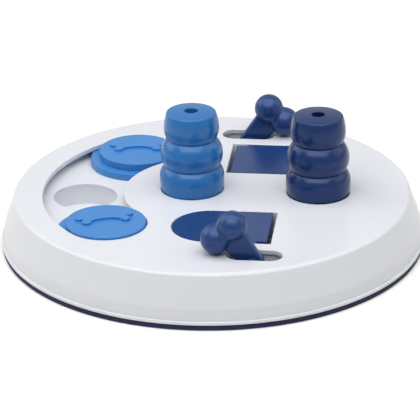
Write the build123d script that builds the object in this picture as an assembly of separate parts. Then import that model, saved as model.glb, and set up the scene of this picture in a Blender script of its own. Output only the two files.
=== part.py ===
from build123d import *
from math import asin, cos, degrees, hypot, radians, sin, sqrt
import os

# Dog puzzle board: a round white board with a bent track and two sliding discs, two flip lids worked by
# bone levers, and two lift-off cones. Millimetres, +Z up, origin at the centre of the footprint.
# The front (-Y) and rear (+Y) lever sets are the same set turned half a turn about mech_centre_x.

# ---- board shell
board_top = 29.0            # height of the flat top
shell_wall = 2.45
crown_round = 2.2           # rounding between the flat top and the bevel
crease_round = 4.0          # where the bevel meets the band
lip_round = 0.4
edge_round = 0.5            # moulded rounding on the openings
plate_bottom = board_top - shell_wall
inside_relief = 0.35        # extra hollow behind the crown
lip_bottom = 3.0
lip_top = 4.8
band_top = 11.3             # near-vertical band between the lip and the bevel
bevel_run = 5.9             # how far the bevel, the band and the lip each step out
band_run = 0.4
lip_run = 1.2

# ---- screws, one self-tapping size throughout
screw_radius = 1.4
screw_head_radius = 2.8
screw_head_height = 1.6
screw_head_chamfer = 0.5
recess_length = 3.0
recess_width = 0.8
recess_depth = 0.9
screw_bite = 6.0            # length inside the boss
screw_hole_radius = 1.7
pilot_depth = screw_bite + 1.0
boss_radius = 3.1
ear_radius = 3.4            # screw tabs on the tray and the bins
ear_height = 2.4

# ---- cones
light_cone_x = -11.4
cone_spacing = 69.0         # dark cone from the light one
cone_y = 3.6
cone_height = 44.6          # rim above the board's top
cone_dome = 1.0             # crown of the top face
cone_radius = 17.65         # at the lowest bulge
cone_wall = 1.9
cone_rim_round = 0.8
cone_hole_radius = 3.6
foot_inset = 2.6            # all insets are from the lowest bulge
groove_low_inset = 2.75
bulge_middle_inset = 0.7
groove_high_inset = 4.35
bulge_high_inset = 2.65
cone_top_inset = 4.25
bulge_low = 0.167 * cone_height
groove_low = 0.309 * cone_height
bulge_middle = 0.467 * cone_height
groove_high = 0.662 * cone_height
bulge_high = 0.80 * cone_height
seat_depth = 6.0
seat_rest = 0.2             # under the cone's foot
seat_clearance = 0.25       # around the cone at the board's top
seat_floor = 2.0
seat_wall = 1.8

# ---- flip lids, windows and lever slots
mech_centre_x = 21.45
bin_wall = 1.8
seat_to_bin = 1.65          # bin wall to the cone seat beside it
window_length = 55.0
window_width = 41.1
tail_length = 7.8           # axle to the square end of the window
bridge = 7.9                # board left between window and slot
slot_length = 29.6
slot_width = 13.4
slot_shift = 0.6            # slot's middle from the axle, towards the tail
axle_height = 23.8
axle_radius = 2.0
axle_flat = 1.2             # flat's distance from the axle's centre
axle_play = 0.05            # journals in their saddles
axle_end_play = 0.3
hub_play = 0.03             # flatted bores on the axle
lid_side_gap = 0.5
lid_tail_gap = 2.3
lid_notch = 2.0             # tail's slot side stands back by this much
lid_sink = 0.1              # below the board's top
lid_thickness = 2.0
lid_hub_radius = 3.6
lid_web = 2.2
lid_tail_rim = 1.4          # thickness of the rim along the tail's end
lid_tail_rim_depth = 4.5
lid_rib_width = 1.6
lid_rib_depth = 2.4
lid_rib_spread = 11.0       # ribs either side of the lid's middle
lid_rib_start = 0.55        # share of the round end that has no rib

# ---- bone handles
lever_tilt = 41.0           # from upright at rest; it swings 80 degrees over
lever_reach = 23.3          # axle to the middle of the two balls
ball_radius = 8.1
ball_spread = 5.8
saddle_round = 2.0          # hollow between the balls
shank_thickness = 5.6
outer_foot = 6.3            # half widths at the axle, on the side away from the balls' lean
inner_foot = 4.7
outer_flare = 0.13          # gained per mm of reach
inner_flare = 0.06
shank_round = 1.5
handle_hub_radius = 4.6
handle_hub_length = 12.0

# ---- bent track and sliders, centred on the board's axis
track_radius = 70.5
track_middle_angle = 177.5  # the middle well
track_opening = 44.0
glide_radius = 26.4
slider_gap = 1.16           # between two sliders side by side
slider_clearance = 0.4      # slider edges to the opening's edges
glide_side_gap = 0.5        # glide to the tray's wall
glide_thickness = 3.9
glide_rest = 0.2            # under the glide
glide_wall = 1.7
glide_bore_radius = 8.05
glide_barb_seat = 9.6
glide_seat_wall = 1.5
floor_drop = 7.0            # track floor below the board's top
tray_wall = 1.8
tray_floor = 2.0
track_to_bin = 4.58         # tray wall to the bin beside the front slider
well_radius = 17.5
well_depth = 12.0
cup_fit = 0.03              # around a treat cup in its collar
collar_height = 3.0         # below the track floor
collar_wall = 1.6
tray_ear_gap = 0.6          # screw tab to the tray's wall

# ---- slider cap
cap_height = 1.2            # above the board's top
cap_gap = 0.2               # cap to glide
cap_wall = 1.7
hub_radius = 8.0
hub_wall = 1.8
barb_radius = 9.0
barb_height = 0.8
barb_lift = 0.3             # barb above the glide's underside
barb_room = 0.6             # above the barb
rear_grip_turn = 6.5        # how the bone grips lie at rest, in degrees about Z
front_grip_turn = 19.5
grip_height = 1.4
grip_round = 0.6
grip_root = 0.2             # how far the grip is sunk into the cap
grip_shift = 13.0           # centre of the grip's bend from the cap's centre
grip_inner_radius = 15.0
grip_width = 6.6
grip_half_angle = 38.0
near_lobe_angle = 40.5      # lobes on the inner and the outer side of the bend
near_lobe_radius = 2.6
near_lobe_out = 1.3
far_lobe_angle = 36.8
far_lobe_radius = 2.3
far_lobe_out = 1.1

# ---- treat bins
bin_floor_top = 9.8
bin_floor = 1.8
lid_ledge = 1.4             # how far the bin's rim stands in under the lid
ledge_clear = 6.0           # the rim is cut back this far either side of the axle
pocket_undercut = 1.4       # lever pocket wider than its slot
saddle_wall = 1.2           # closes the end of a blind saddle
saddle_length = 4.0
saddle_width = 9.0
bin_ear_bottom = 14.0
bin_ear_gap = 1.2           # screw tab to the bin's wall
inner_ear_shift = 25.0      # screw tabs from the round end of the window
outer_ear_shift = 15.0

# ---- board outline, worked out from what it holds
rim_land = 10.65            # flat top outside the lever slot
screw_zone = 8.6            # flat top outside the track's wall
screw_gap = 1.1             # base screw boss to the track's wall

# ---- foot ring and base plate
ring_inset = 0.3            # ring inside the lip
ring_height = 2.7
ring_wall = 6.0
ring_shelf = 1.0            # thickness of the inner shelf that the base plate lies on
ring_shelf_width = 4.6
ring_round = 0.5
base_gap = 0.3              # base plate edge to ring wall
base_thickness = 2.0
base_pad_height = 2.0       # screw pads above the plate
base_pad_radius = 4.1
base_sink_radius = 3.4
base_sink_depth = 2.2
base_screw_count = 6

# ---- sizes that follow from the ones above
foot_span = bulge_low + seat_depth - seat_rest
foot_bend = (foot_span ** 2 + foot_inset ** 2) / (2 * foot_inset)
seat_radius = cone_radius - foot_bend + sqrt(foot_bend ** 2 - bulge_low ** 2) + seat_clearance
cone_places = {"light_cone": (light_cone_x, cone_y), "dark_cone": (light_cone_x + cone_spacing, cone_y)}

half_window = window_width / 2
window_y = cone_y + seat_radius + seat_wall + seat_to_bin + bin_wall + half_window
slot_y = window_y + half_window + bridge + slot_width / 2
inner_edge = -window_y + half_window
outer_edge = -window_y - half_window

track_half = glide_radius + glide_side_gap
track_outer = track_half + tray_wall
track_step = 2 * degrees(asin((glide_radius + slider_gap / 2) / track_radius))
track_start = track_middle_angle - track_step       # angle of the rear slider at rest
track_sweep = 2 * track_step
track_floor = board_top - floor_drop
tray_ear_bottom = track_floor - tray_floor - ear_height
cup_top = track_floor - tray_floor
cup_radius = well_radius + tray_wall
collar_radius = cup_radius + cup_fit
front_slider_x = track_radius * cos(radians(track_start + track_sweep))

round_end = front_slider_x + track_outer + track_to_bin + bin_wall
square_end = round_end + window_length
hinge_x = square_end - tail_length
lid_top = board_top - lid_sink
lid_bottom = lid_top - lid_thickness
ear_stand = bin_wall + bin_ear_gap + ear_radius
bin_ears = ((round_end + inner_ear_shift, inner_edge + ear_stand),
            (round_end + outer_ear_shift, outer_edge - ear_stand))

slot_end_x = hinge_x + slot_shift + (slot_length - slot_width) / 2
slot_reach = hypot(slot_end_x, slot_y) + slot_width / 2
crown_radius = max(slot_reach + rim_land, track_radius + track_outer + screw_zone)
band_top_radius = crown_radius + bevel_run
band_foot_radius = band_top_radius + band_run
lip_radius = band_foot_radius + lip_run
ring_radius = lip_radius - ring_inset
base_bottom = ring_shelf
base_top = base_bottom + base_thickness
base_pad_top = base_top + base_pad_height
base_screw_circle = track_radius + track_outer + screw_gap + boss_radius
base_screw_angles = [i * 360 / base_screw_count for i in range(base_screw_count)]
through = 1.0               # overrun of every cut past the face it opens


def turned(shape):
    """The rear twin of a front shape."""
    return Pos(mech_centre_x, 0, 0) * Rot(0, 0, 180) * Pos(-mech_centre_x, 0, 0) * shape


def rear_point(x, y):
    return 2 * mech_centre_x - x, -y


def disc(radius, bottom, top, x=0.0, y=0.0):
    return Pos(x, y, bottom) * Cylinder(radius, top - bottom, align=(Align.CENTER, Align.CENTER, Align.MIN))


def block(x0, x1, y0, y1, z0, z1):
    middle = Pos((x0 + x1) / 2, (y0 + y1) / 2, (z0 + z1) / 2)
    return middle * Box(x1 - x0, y1 - y0, z1 - z0)


def rod_y(radius, y0, y1, x, z):
    """A round bar along Y."""
    return Pos(x, (y0 + y1) / 2, z) * Rot(90, 0, 0) * Cylinder(radius, y1 - y0)


def polar(radius, angle):
    return radius * cos(radians(angle)), radius * sin(radians(angle))


def turned_profile(points):
    """Solid of revolution about Z from (radius, height) points."""
    outline = make_face(Polyline(*[(r, 0, z) for r, z in points], close=True))
    return revolve(outline, Axis.Z)


def prism(sketch, bottom, top):
    return Pos(0, 0, bottom) * extrude(sketch, top - bottom)


def track_outline(half_width):
    """Bent slot about the board's axis."""
    return SlotArc(CenterArc((0, 0), track_radius, track_start, track_sweep), 2 * half_width)


def window_outline(grow, square_grow=None):
    """D shape of the front window: square end towards +X, round end towards -X."""
    end_grow = grow if square_grow is None else square_grow
    radius = half_window + grow
    centre_x = round_end + half_window
    right = square_end + end_grow
    plate = Pos((centre_x + right) / 2, -window_y) * Rectangle(right - centre_x, 2 * radius)
    return plate + Pos(centre_x, -window_y) * Circle(radius)


def slot_outline(grow):
    return Pos(hinge_x + slot_shift, -slot_y) * SlotOverall(slot_length + 2 * grow, slot_width + 2 * grow)


def top_edges(shape, height):
    """Edges that lie wholly at one height."""
    flat = [e for e in shape.edges() if abs(e.bounding_box().min.Z - height) < 1e-4
            and abs(e.bounding_box().max.Z - height) < 1e-4]
    return ShapeList(flat)


def outer_rim(shape, height):
    """The widest edge at one height."""
    return top_edges(shape, height).sort_by(SortBy.RADIUS)[-1:]


# ---- top shell

def boss(x, y, bottom):
    return disc(boss_radius, bottom, plate_bottom, x, y)


def pilot(x, y, bottom):
    return disc(screw_radius, bottom, bottom + pilot_depth, x, y)


def tray_ear_points():
    """Beside the two end wells, outside the bend's ends, and inside the bend at its middle."""
    stand = track_outer + tray_ear_gap + ear_radius
    points = []
    for angle, side in ((track_start, -90), (track_start + track_sweep, 90)):
        wx, wy = polar(track_radius, angle)
        dx, dy = polar(stand, angle + side)
        points.append((wx + dx, wy + dy))
    points.insert(1, polar(track_radius - stand, track_middle_angle))
    return points


def all_bin_ears():
    return list(bin_ears) + [rear_point(x, y) for x, y in bin_ears]


def base_screw_points():
    return [polar(base_screw_circle, angle) for angle in base_screw_angles]


def shell_blank():
    slope = bevel_run / (board_top - band_top)
    inner_top = crown_radius - shell_wall - inside_relief + slope * shell_wall
    face = make_face(Polyline(
        (0, 0, board_top), (crown_radius, 0, board_top), (band_top_radius, 0, band_top),
        (band_foot_radius, 0, lip_top), (lip_radius, 0, lip_top), (lip_radius, 0, lip_bottom),
        (band_foot_radius - shell_wall, 0, lip_bottom), (band_top_radius - shell_wall, 0, band_top),
        (inner_top, 0, plate_bottom), (0, 0, plate_bottom), close=True))
    body = fillet(outer_rim(revolve(face, Axis.Z), board_top), crown_round)
    body = fillet(outer_rim(body, band_top), crease_round)
    return fillet(outer_rim(body, lip_top) + outer_rim(body, lip_bottom), lip_round)


def make_top_shell():
    shell = shell_blank()
    for x, y in cone_places.values():
        shell += disc(seat_radius + seat_wall, board_top - seat_depth - seat_floor, plate_bottom, x, y)
    bosses = [(x, y, base_pad_top) for x, y in base_screw_points()]
    bosses += [(x, y, tray_ear_bottom + ear_height) for x, y in tray_ear_points()]
    bosses += [(x, y, bin_ear_bottom + ear_height) for x, y in all_bin_ears()]
    for x, y, bottom in bosses:
        shell += boss(x, y, bottom)
    openings = track_outline(track_opening / 2) + window_outline(0) + slot_outline(0)
    openings += turned(window_outline(0)) + turned(slot_outline(0))
    shell -= prism(openings, plate_bottom - through, board_top + through)
    for x, y in cone_places.values():
        shell -= disc(seat_radius, board_top - seat_depth, board_top + through, x, y)
    for x, y, bottom in bosses:
        shell -= pilot(x, y, bottom)
    mouths = [e for e in top_edges(shell, board_top)
              if hypot(e.position_at(0).X, e.position_at(0).Y) < crown_radius - crown_round]
    return fillet(mouths, edge_round)


# ---- base

def make_non_slip_ring():
    inner = ring_radius - ring_wall
    shelf = inner - ring_shelf_width
    return turned_profile((
        (shelf, 0), (ring_radius - ring_round, 0), (ring_radius, ring_round),
        (ring_radius, ring_height - ring_round), (ring_radius - ring_round, ring_height),
        (inner, ring_height), (inner, ring_shelf), (shelf, ring_shelf)))


def make_base_plate():
    plate = disc(ring_radius - ring_wall - base_gap, base_bottom, base_top)
    for x, y in base_screw_points():
        plate += disc(base_pad_radius, base_bottom, base_pad_top, x, y)
    for x, y in base_screw_points():
        plate -= disc(base_sink_radius, base_bottom, base_bottom + base_sink_depth, x, y)
        plate -= disc(screw_hole_radius, base_bottom, base_pad_top, x, y)
    return plate


def screw(x, y, seat, length):
    """Pan-head self-tapping screw driven upwards, its head bearing on seat."""
    foot = seat - screw_head_height
    head = disc(screw_head_radius, foot, seat, x, y)
    head = chamfer(top_edges(head, foot), screw_head_chamfer)
    cross = Rectangle(recess_length, recess_width) + Rectangle(recess_width, recess_length)
    head -= Pos(x, y, foot) * extrude(cross, recess_depth)
    return head + disc(screw_radius, seat, seat + length, x, y)


def make_screws(points, seat, grip):
    """Screws that pass through grip of material into their bosses."""
    return Compound([screw(x, y, seat, grip + screw_bite) for x, y in points])


# ---- track tray

def ear(x, y, wall_x, wall_y, bottom):
    """Screw tab at (x, y) with an arm back to the wall at (wall_x, wall_y)."""
    length = hypot(wall_x - x, wall_y - y)
    plane = Plane(origin=((x + wall_x) / 2, (y + wall_y) / 2, bottom), x_dir=(wall_x - x, wall_y - y, 0))
    arm = plane * Box(length, 2 * ear_radius, ear_height, align=(Align.CENTER, Align.CENTER, Align.MIN))
    return arm + disc(ear_radius, bottom, bottom + ear_height, x, y)


def well_places():
    return [polar(track_radius, track_start + i * track_step) for i in range(3)]


def make_track_tray():
    tray = prism(track_outline(track_outer), track_floor - tray_floor, plate_bottom)
    tray -= prism(track_outline(track_half), track_floor, plate_bottom + through)
    for (x, y), (wx, wy) in zip(tray_ear_points(), well_places()):
        reach = (collar_radius + collar_wall / 2) / hypot(x - wx, y - wy)
        tray += ear(x, y, wx + (x - wx) * reach, wy + (y - wy) * reach, tray_ear_bottom)
    for x, y in well_places():
        tray += disc(collar_radius + collar_wall, cup_top - collar_height, cup_top, x, y)
    for x, y in well_places():
        tray -= disc(collar_radius, cup_top - collar_height - through, cup_top, x, y)
        tray -= disc(well_radius, cup_top - through, track_floor + through, x, y)
    for x, y in tray_ear_points():
        tray -= disc(screw_hole_radius, tray_ear_bottom - through, tray_ear_bottom + ear_height, x, y)
    mouths = [e for e in top_edges(tray, track_floor)
              if e.geom_type == GeomType.CIRCLE and e.radius < well_radius + tray_wall]
    return fillet(mouths, edge_round)


def make_cup(place):
    """Treat cup pushed into its collar from below, flush with the hole in the track floor."""
    x, y = place
    bottom = track_floor - well_depth
    return disc(cup_radius, bottom - tray_floor, cup_top, x, y) - disc(well_radius, bottom, cup_top + through, x, y)


# ---- sliders

def at_slider(shape, angle):
    x, y = polar(track_radius, angle)
    return Pos(x, y, 0) * shape


def make_glide(angle):
    low = track_floor + glide_rest
    high = low + glide_thickness
    seat = low + barb_height + barb_room
    seat_out = glide_barb_seat + glide_seat_wall
    profile = turned_profile((
        (glide_barb_seat, low), (seat_out, low), (seat_out, high - glide_wall),
        (glide_radius - glide_wall, high - glide_wall), (glide_radius - glide_wall, low),
        (glide_radius, low), (glide_radius, high), (glide_bore_radius, high),
        (glide_bore_radius, seat), (glide_barb_seat, seat)))
    rim = [e for e in top_edges(profile, high) if e.radius > glide_barb_seat]
    return at_slider(fillet(rim, edge_round), angle)


def bone_grip():
    """Arched bone seen from above: a bent shank with two lobes at each end."""
    outer = grip_inner_radius + grip_width
    band = Circle(outer) - Circle(grip_inner_radius)
    tip_x, tip_y = polar(2 * outer, 90 - grip_half_angle)
    wedge = make_face(Polyline((0, 0), (tip_x, tip_y), (-tip_x, tip_y), close=True))
    grip = band & wedge
    for side in (-1, 1):
        near_x, near_y = polar(grip_inner_radius + near_lobe_out, 90 - side * near_lobe_angle)
        far_x, far_y = polar(outer + far_lobe_out, 90 - side * far_lobe_angle)
        grip += Pos(near_x, near_y) * Circle(near_lobe_radius)
        grip += Pos(far_x, far_y) * Circle(far_lobe_radius)
    return Pos(0, -grip_shift) * grip


def make_cap(angle, grip_turn):
    low = track_floor + glide_rest + barb_lift
    under = track_floor + glide_rest + glide_thickness + cap_gap
    top = board_top + cap_height
    radius = track_opening / 2 - slider_clearance
    barb_tip = barb_radius - barb_lift
    cap = turned_profile((
        (0, top), (radius, top), (radius, under), (radius - cap_wall, under),
        (radius - cap_wall, top - cap_wall), (hub_radius, top - cap_wall), (hub_radius, low + barb_height),
        (barb_radius, low + barb_height), (barb_tip, low), (hub_radius - hub_wall, low),
        (hub_radius - hub_wall, top - cap_wall), (0, top - cap_wall)))
    cap = fillet(top_edges(cap, top), edge_round)
    grip = prism(bone_grip(), top - grip_root, top + grip_height)
    grip = fillet(top_edges(grip, top + grip_height), grip_round)
    return at_slider(Rot(0, 0, grip_turn) * (cap + grip), angle)


# ---- cones

def bulge_arc(narrow, wide):
    """Quarter of a bulge, upright where it is widest."""
    rise = wide[1] - narrow[1]
    depth = wide[0] - narrow[0]
    bend = (rise ** 2 + depth ** 2) / (2 * depth)
    middle = wide[0] - bend + sqrt(bend ** 2 - (rise / 2) ** 2)
    return ThreePointArc((narrow[0], 0, narrow[1]), (middle, 0, wide[1] - rise / 2), (wide[0], 0, wide[1]))


def dome_arc(radius, height):
    """Crown of the top face, from its rim to the axis."""
    bend = (radius ** 2 + cone_dome ** 2) / (2 * cone_dome)
    middle = height + cone_dome - bend + sqrt(bend ** 2 - (radius / 2) ** 2)
    return ThreePointArc((radius, 0, height), (radius / 2, 0, middle), (0, 0, height + cone_dome))


def cone_solid(shrink, top):
    """Three bulges from foot to top, with the whole side moved inwards by shrink."""
    out = cone_radius - shrink
    foot = (out - foot_inset, board_top - seat_depth + seat_rest)
    head = (out - cone_top_inset, board_top + cone_height)
    narrow = [foot, (out - groove_low_inset, board_top + groove_low),
              (out - groove_high_inset, board_top + groove_high), head]
    wide = [(out, board_top + bulge_low), (out - bulge_middle_inset, board_top + bulge_middle),
            (out - bulge_high_inset, board_top + bulge_high)]
    edges = []
    for below, widest, above in zip(narrow, wide, narrow[1:]):
        edges += [bulge_arc(below, widest), bulge_arc(above, widest)]
    edges += [Line((0, 0, foot[1]), (foot[0], 0, foot[1])), dome_arc(head[0], head[1]),
              Line((0, 0, head[1] + cone_dome), (0, 0, foot[1]))]
    solid = revolve(make_face(Wire(edges)), Axis.Z)
    return solid & disc(2 * cone_radius, 0, top)


def make_cone(x, y):
    top = board_top + cone_height
    crown = top + cone_dome
    cone = cone_solid(0, crown + through)
    cone -= cone_solid(cone_wall, top - cone_wall)
    cone -= disc(cone_hole_radius, top - 2 * cone_wall, crown + through)
    cone = fillet(outer_rim(cone, top), cone_rim_round)
    hole = [e for e in cone.edges() if e.bounding_box().min.Z > top and e.bounding_box().size.Z < edge_round / 10]
    return Pos(x, y, 0) * fillet(hole, edge_round)


# ---- flip lid, axle and bone handle (front set)

def flatted_rod(radius, flat, y0, y1):
    """Round bar along Y with a flat on its upper side."""
    bar = rod_y(radius, y0, y1, hinge_x, axle_height)
    return bar - block(hinge_x - radius, hinge_x + radius, y0 - through, y1 + through, axle_height + flat,
                       axle_height + radius + through)


def saddle_ends():
    """Where the blind saddles end: outside the slot, and between the bin and the board's middle."""
    return -slot_y - slot_width / 2 - saddle_length, inner_edge + saddle_length


def make_axle():
    outer, inner = saddle_ends()
    return flatted_rod(axle_radius, axle_flat, outer + axle_end_play, inner - axle_end_play)


def make_lid():
    """D-shaped lid; its tail behind the axle stands back on the lever's side."""
    low_y = outer_edge + lid_side_gap
    high_y = inner_edge - lid_side_gap
    tail_end = square_end - lid_tail_gap
    plate = window_outline(-lid_side_gap, -lid_tail_gap)
    plate -= Pos((hinge_x + square_end) / 2, low_y) * Rectangle(tail_length, 2 * lid_notch)
    lid = prism(plate, lid_bottom, lid_top)
    lid += rod_y(lid_hub_radius, low_y + lid_notch, high_y, hinge_x, axle_height)
    lid += block(hinge_x - lid_web, hinge_x + lid_web, low_y + lid_notch, high_y, axle_height, lid_bottom)
    lid &= block(round_end, tail_end, outer_edge, inner_edge, 0, lid_top)
    lid += block(tail_end - lid_tail_rim, tail_end, low_y + lid_notch, high_y,
                 lid_bottom - lid_tail_rim_depth, lid_bottom)
    for side in (-1, 1):
        y = -window_y + side * lid_rib_spread
        lid += block(round_end + half_window * lid_rib_start, hinge_x, y - lid_rib_width / 2,
                     y + lid_rib_width / 2, lid_bottom - lid_rib_depth, lid_bottom)
    return lid - flatted_rod(axle_radius + hub_play, axle_flat + hub_play, outer_edge, inner_edge)


def two_balls():
    """The bone's knuckle: two balls in line along X, with a rounded hollow between them."""
    arm = ball_radius + saddle_round
    height = sqrt(arm ** 2 - ball_spread ** 2)
    join_x = ball_spread * saddle_round / arm
    join_r = height * ball_radius / arm
    end = ball_spread + ball_radius
    crest = (ball_spread, ball_radius)
    outline = Wire([
        ThreePointArc((-end, 0), (-crest[0], crest[1]), (-join_x, join_r)),
        ThreePointArc((-join_x, join_r), (0, height - saddle_round), (join_x, join_r)),
        ThreePointArc((join_x, join_r), crest, (end, 0)),
        Line((end, 0), (-end, 0))])
    return revolve(make_face(outline), Axis.X)


def make_handle():
    outer_top = outer_foot + outer_flare * lever_reach
    inner_top = inner_foot + inner_flare * lever_reach
    shank = make_face(Polyline((-inner_foot, 0), (outer_foot, 0), (outer_top, lever_reach),
                               (-inner_top, lever_reach), close=True))
    shank += Pos((outer_foot - inner_foot) / 2, 0) * Circle((outer_foot + inner_foot) / 2)
    plate = extrude(shank, shank_thickness / 2, both=True)
    plate = fillet(plate.edges().filter_by(Plane.XY), shank_round)
    upright = plate + Pos(0, lever_reach, 0) * two_balls()
    upright += Cylinder(handle_hub_radius, handle_hub_length)
    # drawn lying in XY: stood up, its reach is along Z and its thickness along Y
    standing = Rot(90, 0, 0) * upright
    leaning = Pos(hinge_x, -slot_y, axle_height) * Rot(0, -lever_tilt, 0) * standing
    return leaning - flatted_rod(axle_radius + hub_play, axle_flat + hub_play, -slot_y - slot_width,
                                 -slot_y + slot_width)


# ---- treat bin (front), with the lever pocket and the axle saddles in one moulding

def make_bin():
    shell = prism(window_outline(bin_wall), base_top, plate_bottom)
    shell += prism(slot_outline(pocket_undercut + bin_wall), base_top, plate_bottom)
    outer, inner = saddle_ends()
    left, right = hinge_x - saddle_width / 2, hinge_x + saddle_width / 2
    shell += block(left, right, inner_edge, inner + saddle_wall, bin_ear_bottom, plate_bottom)
    shell += block(left, right, outer - saddle_wall, -slot_y, bin_ear_bottom, plate_bottom)
    shell += block(hinge_x - saddle_width, hinge_x + saddle_width, -slot_y, outer_edge, bin_ear_bottom,
                   plate_bottom)
    for (x, y), wall_y in zip(bin_ears, (inner_edge + bin_wall / 2, outer_edge - bin_wall / 2)):
        shell += ear(x, y, x, wall_y, bin_ear_bottom)
    # hollows
    shell -= prism(window_outline(-lid_ledge, 0), bin_floor_top, plate_bottom + through)
    shell -= block(hinge_x - ledge_clear, square_end, outer_edge, inner_edge, bin_floor_top,
                   plate_bottom + through)
    shell -= prism(window_outline(0), base_top - through, bin_floor_top - bin_floor)
    shell -= prism(slot_outline(pocket_undercut), bin_floor_top, plate_bottom + through)
    shell -= prism(slot_outline(pocket_undercut), base_top - through, bin_floor_top - bin_floor)
    # saddles, open upwards and closed by the shell above
    notch = axle_radius + axle_play
    shell -= rod_y(notch, outer, inner, hinge_x, axle_height)
    shell -= block(hinge_x - notch, hinge_x + notch, outer, inner, axle_height, plate_bottom + through)
    for x, y in bin_ears:
        shell -= disc(screw_hole_radius, bin_ear_bottom - through, bin_ear_bottom + ear_height, x, y)
    return shell


# ---- build and write

def main():
    pad_grip = base_pad_top - base_bottom - base_sink_depth
    pieces = {
        "top_shell": make_top_shell(),
        "base_plate": make_base_plate(),
        "non_slip_ring": make_non_slip_ring(),
        "base_screws": make_screws(base_screw_points(), base_bottom + base_sink_depth, pad_grip),
        "track_tray": make_track_tray(),
        "tray_screws": make_screws(tray_ear_points(), tray_ear_bottom, ear_height),
        "bin_screws": make_screws(all_bin_ears(), bin_ear_bottom, ear_height),
        "rear_slider_glide": make_glide(track_start),
        "rear_slider_cap": make_cap(track_start, rear_grip_turn),
        "front_slider_glide": make_glide(track_start + track_sweep),
        "front_slider_cap": make_cap(track_start + track_sweep, front_grip_turn),
    }
    for name, place in zip(("rear", "middle", "front"), well_places()):
        pieces[name + "_treat_cup"] = make_cup(place)
    for name, (x, y) in cone_places.items():
        pieces[name] = make_cone(x, y)
    front_set = {"flip_lid": make_lid(), "bone_handle": make_handle(), "lid_axle": make_axle(),
                 "treat_bin": make_bin()}
    for name, shape in front_set.items():
        pieces["front_" + name] = shape
        pieces["rear_" + name] = turned(shape)
    os.makedirs("parts", exist_ok=True)
    for name, shape in pieces.items():
        export_step(shape, "parts/" + name + ".step")


main()
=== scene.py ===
import bpy
import bmesh
from math import radians
from mathutils import Matrix, Vector

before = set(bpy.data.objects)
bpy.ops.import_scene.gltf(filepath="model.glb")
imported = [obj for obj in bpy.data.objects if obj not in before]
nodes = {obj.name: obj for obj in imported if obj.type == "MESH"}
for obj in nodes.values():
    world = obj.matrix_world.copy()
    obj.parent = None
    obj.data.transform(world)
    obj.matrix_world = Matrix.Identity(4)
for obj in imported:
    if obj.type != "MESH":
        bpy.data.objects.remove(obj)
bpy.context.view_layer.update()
print("stage: frame loaded,", len(nodes), "nodes")


# sRGB hex to linear RGBA
def toLinear(code):
    values = [int(code[i:i + 2], 16) / 255 for i in (0, 2, 4)]
    return [v / 12.92 if v <= 0.04045 else ((v + 0.055) / 1.055) ** 2.4 for v in values] + [1.0]


# a node with its settings, and links into its inputs by name or number
def addNode(tree, kind, settings=None, links=None):
    node = tree.nodes.new(kind)
    for key, value in (settings or {}).items():
        if isinstance(key, str) and hasattr(node, key) and key not in node.inputs:
            setattr(node, key, value)
        else:
            node.inputs[key].default_value = value
    for key, source in (links or {}).items():
        tree.links.new(source, node.inputs[key])
    return node


# an empty material, its node tree and the coordinates of the piece that wears it
def newMaterial(name):
    material = bpy.data.materials.new(name)
    material.use_nodes = True
    tree = material.node_tree
    tree.nodes.clear()
    return material, tree, addNode(tree, "ShaderNodeTexCoord").outputs["Object"]


def perMetre(sizeMm):
    return 1000.0 / sizeMm    # texture scale for a feature of this size


# two colours that drift into each other over mottleMm
def mottled(tree, place, look):
    drift = addNode(tree, "ShaderNodeTexNoise", {"Scale": perMetre(look["mottleMm"]), "Detail": 3.0},
                    {"Vector": place})
    # inputs 6 and 7 and output 2 are this node's colours
    blend = addNode(tree, "ShaderNodeMix",
                    {"data_type": "RGBA", 6: toLinear(look["colour"]), 7: toLinear(look["tint"])},
                    {0: drift.outputs["Fac"]})
    return blend.outputs[2]


# smudges vary the roughness a little, and grain is the fine texture of the mould
def mouldedPlastic(name, look):
    material, tree, place = newMaterial(name)
    smudge = addNode(tree, "ShaderNodeTexNoise",
                     {"Scale": perMetre(look["smudgeMm"]), "Detail": 5.0, "Roughness": 0.6},
                     {"Vector": place})
    smoothest, roughest = look["roughness"]
    # the smudge noise itself runs from about 0.3 to 0.7
    sheen = addNode(tree, "ShaderNodeMapRange",
                    {"From Min": 0.3, "From Max": 0.7, "To Min": smoothest, "To Max": roughest},
                    {"Value": smudge.outputs["Fac"]})
    grain = addNode(tree, "ShaderNodeTexNoise", {"Scale": perMetre(look["grainMm"]), "Detail": 2.0},
                    {"Vector": place})
    relief = addNode(tree, "ShaderNodeBump", {"Strength": 1.0, "Distance": look["grainDepthMm"] / 1000},
                     {"Height": grain.outputs["Fac"]})
    surface = addNode(tree, "ShaderNodeBsdfPrincipled",
                      {"IOR": look["ior"], "Specular IOR Level": look["specular"],
                       "Specular Tint": toLinear(look["sheenColour"]),
                       "Subsurface Weight": look["translucence"],
                       "Subsurface Scale": look["scatterMm"] / 1000,
                       "Subsurface Radius": (1.0, 1.0, 1.0)},    # all colours scatter as far
                      {"Base Color": mottled(tree, place, look), "Roughness": sheen.outputs["Result"],
                       "Normal": relief.outputs["Normal"]})
    addNode(tree, "ShaderNodeOutputMaterial", None, {"Surface": surface.outputs["BSDF"]})
    return material


# streaks are what plating or drawing leaves in the shine
def brightSteel(name, look):
    material, tree, place = newMaterial(name)
    streak = addNode(tree, "ShaderNodeTexNoise", {"Scale": perMetre(look["streakMm"]), "Detail": 4.0},
                     {"Vector": place})
    smoothest, roughest = look["roughness"]
    sheen = addNode(tree, "ShaderNodeMapRange", {"To Min": smoothest, "To Max": roughest},
                    {"Value": streak.outputs["Fac"]})
    surface = addNode(tree, "ShaderNodeBsdfPrincipled", {"Metallic": 1.0},
                      {"Base Color": mottled(tree, place, look), "Roughness": sheen.outputs["Result"]})
    addNode(tree, "ShaderNodeOutputMaterial", None, {"Surface": surface.outputs["BSDF"]})
    return material


# The grain of these moulds is really under 0.1 mm across. It is drawn at 0.6 mm, as a finer one
# can't show. sheenColour tints the highlights, which look bluish on the blue plastics.

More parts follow.
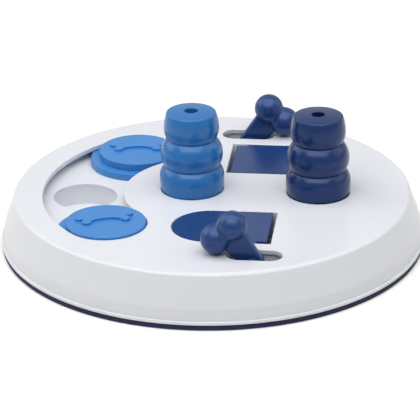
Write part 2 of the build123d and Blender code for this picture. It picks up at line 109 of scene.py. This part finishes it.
# white polypropylene, injection moulded in a finely spark-eroded tool: a soft, even sheen
whitePlastic = mouldedPlastic("white_polypropylene", {
    "colour": "dddfe4", "tint": "dadce2", "mottleMm": 38,
    "roughness": (0.31, 0.345), "smudgeMm": 14, "grainMm": 0.6, "grainDepthMm": 0.003,
    "ior": 1.49, "specular": 0.45, "sheenColour": "ffffff", "translucence": 0.2, "scatterMm": 2.5})

# light-blue polypropylene of the sliders, moulded in a smoother tool: broad, soft highlights
sliderPlastic = mouldedPlastic("slider_blue_polypropylene", {
    "colour": "3d85ca", "tint": "3980c5", "mottleMm": 22,
    "roughness": (0.23, 0.27), "smudgeMm": 9, "grainMm": 0.6, "grainDepthMm": 0.001,
    "ior": 1.49, "specular": 0.6, "sheenColour": "d2e4ff", "translucence": 0.05, "scatterMm": 0.8})

# mid-blue polypropylene of the light cone, moulded in a polished tool: a satin gloss on the bulges
coneBluePlastic = mouldedPlastic("cone_blue_polypropylene", {
    "colour": "246eb2", "tint": "2069ac", "mottleMm": 20,
    "roughness": (0.21, 0.25), "smudgeMm": 8, "grainMm": 0.6, "grainDepthMm": 0.001,
    "ior": 1.49, "specular": 0.66, "sheenColour": "d2e4ff", "translucence": 0.05, "scatterMm": 0.8})

# navy polypropylene of the dark cone, from the same kind of tool: as glossy
coneNavyPlastic = mouldedPlastic("cone_navy_polypropylene", {
    "colour": "122e60", "tint": "102a5a", "mottleMm": 20,
    "roughness": (0.21, 0.25), "smudgeMm": 8, "grainMm": 0.6, "grainDepthMm": 0.001,
    "ior": 1.49, "specular": 0.58, "sheenColour": "c2d2ff", "translucence": 0.03, "scatterMm": 0.6})

# navy polypropylene of the lids and bone handles, moulded a little duller: a softer, greyer shine
leverPlastic = mouldedPlastic("lever_navy_polypropylene", {
    "colour": "1f3d72", "tint": "1c396d", "mottleMm": 16,
    "roughness": (0.26, 0.3), "smudgeMm": 7, "grainMm": 0.6, "grainDepthMm": 0.001,
    "ior": 1.49, "specular": 0.62, "sheenColour": "c2d2ff", "translucence": 0.03, "scatterMm": 0.6})

# soft thermoplastic rubber, moulded with a dull skin: matte, with hardly a highlight
footRubber = mouldedPlastic("foot_ring_rubber", {
    "colour": "1b2346", "tint": "181f40", "mottleMm": 12,
    "roughness": (0.62, 0.72), "smudgeMm": 6, "grainMm": 0.6, "grainDepthMm": 0.02,
    "ior": 1.51, "specular": 0.3, "sheenColour": "ffffff", "translucence": 0.0, "scatterMm": 0.5})

# carbon steel screws, barrel zinc plated: bright with a fine uneven haze
zincSteel = brightSteel("zinc_plated_steel", {
    "colour": "c4c7ca", "tint": "aeb2b7", "mottleMm": 2.5, "streakMm": 1.2, "roughness": (0.28, 0.42)})

# stainless rod, drawn and milled flat: a smoother, greyer shine
drawnSteel = brightSteel("drawn_stainless_steel", {
    "colour": "b9bbbd", "tint": "a5a8ab", "mottleMm": 2.0, "streakMm": 0.7, "roughness": (0.22, 0.34)})

finishes = {
    "top_shell": whitePlastic, "track_tray": whitePlastic, "base_plate": whitePlastic,
    "rear_treat_cup": whitePlastic, "middle_treat_cup": whitePlastic, "front_treat_cup": whitePlastic,
    "front_treat_bin": whitePlastic, "rear_treat_bin": whitePlastic, "non_slip_ring": footRubber,
    "base_screws": zincSteel, "tray_screws": zincSteel, "bin_screws": zincSteel,
    "light_cone": coneBluePlastic, "dark_cone": coneNavyPlastic,
    "front_bone_handle": leverPlastic, "front_flip_lid": leverPlastic, "front_lid_axle": drawnSteel,
    "rear_bone_handle": leverPlastic, "rear_flip_lid": leverPlastic, "rear_lid_axle": drawnSteel,
    "front_slider_glide": sliderPlastic, "front_slider_cap": sliderPlastic,
    "rear_slider_glide": sliderPlastic, "rear_slider_cap": sliderPlastic,
}
for name, material in finishes.items():
    nodes[name].data.materials.clear()
    nodes[name].data.materials.append(material)
print("stage: materials on", len(finishes), "nodes")


# 1 for camera and transmission rays and glossShare for glossy ones, so that gloss mirrors that
# much of the white that the camera sees, and 0 for the rays that light the board
def seenRays(tree, glossShare):
    path = addNode(tree, "ShaderNodeLightPath")
    gloss = addNode(tree, "ShaderNodeMath", {"operation": "MULTIPLY", 1: glossShare},
                    {0: path.outputs["Is Glossy Ray"]})
    both = addNode(tree, "ShaderNodeMath", {"operation": "MAXIMUM"},
                   {0: path.outputs["Is Camera Ray"], 1: gloss.outputs[0]})
    return addNode(tree, "ShaderNodeMath", {"operation": "MAXIMUM"},
                   {0: both.outputs[0], 1: path.outputs["Is Transmission Ray"]}).outputs[0]


# matte white background paper; its lift brings it to the white of the backdrop and leaves the shadow
def makeFloor():
    look = {"colour": "eeece8", "tint": "ecebe7", "mottleMm": 60, "roughness": 0.9, "specular": 0.1,
            "glow": "ffffff", "lift": 0.17, "glossShare": 1.0,
            "halfSize": 3.0, "dropMm": 0.1}    # dropMm keeps it clear of the foot ring's face
    mesh = bpy.data.meshes.new("paper_sweep")
    form = bmesh.new()
    half = look["halfSize"]
    corners = ((-half, -half), (half, -half), (half, half), (-half, half))
    drop = look["dropMm"] / 1000
    form.faces.new([form.verts.new((x, y, -drop)) for x, y in corners])
    form.to_mesh(mesh)
    form.free()
    floor = bpy.data.objects.new("paper_sweep", mesh)
    bpy.context.scene.collection.objects.link(floor)
    material, tree, place = newMaterial("matte_paper")
    paper = addNode(tree, "ShaderNodeBsdfPrincipled",
                    {"Roughness": look["roughness"], "Specular IOR Level": look["specular"]},
                    {"Base Color": mottled(tree, place, look)})
    lift = addNode(tree, "ShaderNodeMath", {"operation": "MULTIPLY", 1: look["lift"]},
                   {0: seenRays(tree, look["glossShare"])})
    glow = addNode(tree, "ShaderNodeEmission", {"Color": toLinear(look["glow"])},
                   {"Strength": lift.outputs[0]})
    both = addNode(tree, "ShaderNodeAddShader", None, {0: paper.outputs[0], 1: glow.outputs[0]})
    addNode(tree, "ShaderNodeOutputMaterial", None, {"Surface": both.outputs[0]})
    mesh.materials.append(material)


# the backdrop: white where it is seen, and next to no light of its own on the board
def makeWorld():
    look = {"colour": "ffffff", "surround": 0.02, "seen": 1.0, "glossShare": 0.6}
    world = bpy.data.worlds.new("studio")
    world.use_nodes = True
    tree = world.node_tree
    tree.nodes.clear()
    white = toLinear(look["colour"])
    surround = addNode(tree, "ShaderNodeBackground", {"Color": white, "Strength": look["surround"]})
    seen = addNode(tree, "ShaderNodeBackground", {"Color": white, "Strength": look["seen"]})
    mixed = addNode(tree, "ShaderNodeMixShader", None,
                    {0: seenRays(tree, look["glossShare"]), 1: surround.outputs[0], 2: seen.outputs[0]})
    addNode(tree, "ShaderNodeOutputWorld", None, {"Surface": mixed.outputs[0]})
    bpy.context.scene.world = world


# turns a thing at this place to look at a point
def turnTo(place, point):
    return (Vector(point) - Vector(place)).to_track_quat("-Z", "Y")


def makeLights():
    look = {"colour": "ffffff", "aim": (0.0, 0.0, 0.03)}
    lamps = {
        "overhead_softbox": {"size": (2.6, 2.2), "watts": 44.5, "place": (0.0, -0.45, 1.65)},
        "front_softbox": {"size": (1.4, 1.0), "watts": 3.0, "place": (-0.15, -1.15, 1.6)},
        "left_panel": {"size": (1.4, 1.2), "watts": 8.9, "place": (-1.5, 0.35, 1.0)},
        "right_panel": {"size": (1.4, 1.2), "watts": 4.7, "place": (1.5, 0.35, 1.0)},
    }
    for name, lampLook in lamps.items():
        lamp = bpy.data.lights.new(name, "AREA")
        lamp.shape = "RECTANGLE"
        lamp.size, lamp.size_y = lampLook["size"]
        lamp.energy = lampLook["watts"]
        lamp.color = toLinear(look["colour"])[:3]
        holder = bpy.data.objects.new(name, lamp)
        holder.location = lampLook["place"]
        holder.rotation_euler = turnTo(lampLook["place"], look["aim"]).to_euler()
        bpy.context.scene.collection.objects.link(holder)


def makeCamera():
    look = {"eye": (0.18595, -1.63204, 0.74413), "aim": (-0.00213, 0.00628, 0.01466),
            "rollDegrees": -0.746, "lensMm": 281.5, "sensorMm": 36.0, "farEnd": 20.0}
    camera = bpy.data.cameras.new("camera")
    camera.lens = look["lensMm"]
    camera.sensor_width = look["sensorMm"]
    camera.clip_end = look["farEnd"]
    holder = bpy.data.objects.new("camera", camera)
    turn = turnTo(look["eye"], look["aim"]).to_matrix().to_4x4()
    roll = Matrix.Rotation(radians(look["rollDegrees"]), 4, "Z")
    holder.matrix_world = Matrix.Translation(look["eye"]) @ turn @ roll
    bpy.context.scene.collection.objects.link(holder)
    bpy.context.scene.camera = holder


makeFloor()
makeWorld()
makeLights()
makeCamera()
bpy.context.scene.view_settings.view_transform = "Standard"
print("stage: floor, lights and camera")
